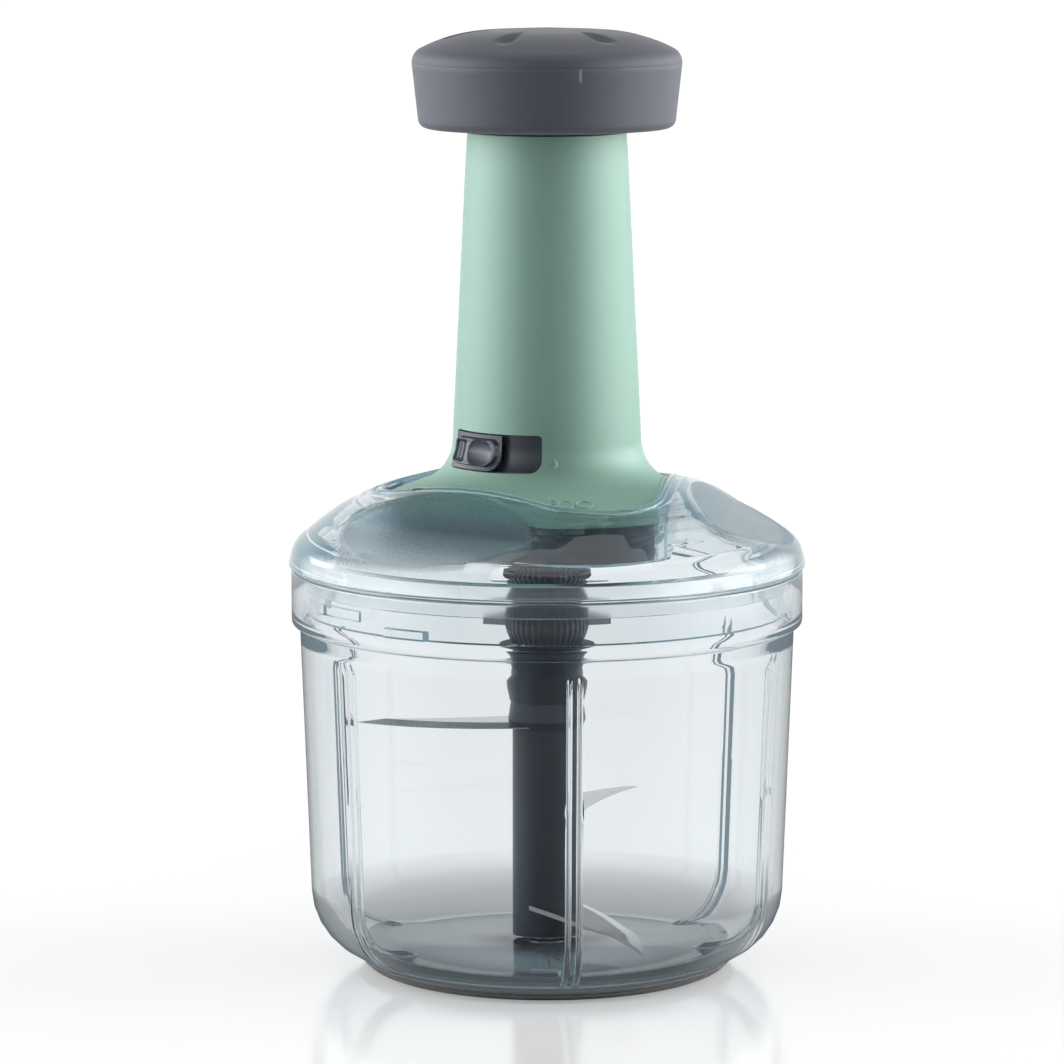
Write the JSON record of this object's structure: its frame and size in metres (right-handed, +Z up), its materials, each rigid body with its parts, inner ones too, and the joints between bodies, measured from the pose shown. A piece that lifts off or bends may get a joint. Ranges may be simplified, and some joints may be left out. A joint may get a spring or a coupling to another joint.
{
  "type": "plunger food chopper",
  "caption": "Hand food chopper: pushing a round knob turns stacked blades in a clear ribbed bowl through a twisted spindle; lid with finger scoops and a sliding lock",
  "frame": {"origin": "on the table under the middle of the bowl", "axes": "+Z up along the turning axis, -Y towards the lock switch"},
  "size_m": [0.132, 0.132, 0.2398],
  "materials": {
    "clear_bowl": "clear moulded plastic, polished",
    "clear_lid": "clear moulded plastic with a blue-green tint, finger scoops frosted",
    "green_plastic": "sage green moulded plastic, satin",
    "soft_grip": "blue-grey soft-touch skin, matt",
    "grey_plastic": "blue-grey moulded plastic, fine grain",
    "pad_rubber": "dark grey non-slip rubber",
    "seal_silicone": "translucent silicone",
    "white_plastic": "natural white acetal",
    "blade_steel": "stainless steel with ground bevels",
    "plated_steel": "plated steel"
  },
  "bodies": {
    "bowl": {"bowl": "clear_bowl", "centre_pin": "plated_steel", "base_pad": "pad_rubber"},
    "blades": {"blade_column": "grey_plastic", "blade_lower": "blade_steel", "blade_middle": "blade_steel", "blade_upper": "blade_steel"},
    "seal": {"lid_seal": "seal_silicone"},
    "lid": {"lid": "clear_lid", "housing": "green_plastic", "guide_bush": "white_plastic", "switch_track": "grey_plastic", "base_cover": "grey_plastic", "driver_bush": "white_plastic", "bearing_plate": "plated_steel", "lid_screws": "plated_steel", "plate_screws": "plated_steel", "return_spring": "plated_steel"},
    "driver": {"drive_socket": "grey_plastic", "driver_vane": "plated_steel"},
    "spindle": {"spindle_strip": "plated_steel", "spindle_hub": "white_plastic"},
    "plunger": {"plunger_tube": "white_plastic", "drive_nut": "white_plastic", "knob_grip": "soft_grip", "knob_core": "grey_plastic", "knob_screw": "plated_steel"},
    "lock": {"switch_button": "grey_plastic", "latch_plate": "grey_plastic"}
  },
  "joints": [
    {"name": "lid_lift", "type": "slide", "parent": "bowl", "child": "seal", "axis": [0, 0, 1], "range_m": [0, 0.15]},
    {"name": "lid_turn", "type": "hinge", "parent": "seal", "child": "lid", "pos_m": [0, 0, 0.1], "axis": [0, 0, 1], "range_deg": [-20, 0]},
    {"name": "knob_push", "type": "slide", "parent": "lid", "child": "plunger", "axis": [0, 0, 1], "range_m": [0, 0.062], "deforming": ["return_spring"]},
    {"name": "spindle_turn", "type": "hinge", "parent": "lid", "child": "spindle", "pos_m": [0, 0, 0.115], "axis": [0, 0, 1], "range_deg": [-560, 0]},
    {"name": "driver_spin", "type": "hinge", "parent": "lid", "child": "driver", "pos_m": [0, 0, 0.1], "axis": [0, 0, 1], "continuous": true},
    {"name": "blade_spin", "type": "hinge", "parent": "bowl", "child": "blades", "pos_m": [0, 0, 0.03], "axis": [0, 0, 1], "continuous": true},
    {"name": "lock_slide", "type": "hinge", "parent": "lid", "child": "lock", "pos_m": [0, 0, 0.134], "axis": [0, 0, 1], "range_deg": [0, 24]}
  ],
  "couplings": [
    {"joint": "spindle_turn", "follows": "knob_push", "rad_per_m": -157.08},
    {"joint": "driver_spin", "follows": "blade_spin", "ratio": 1}
  ]
}
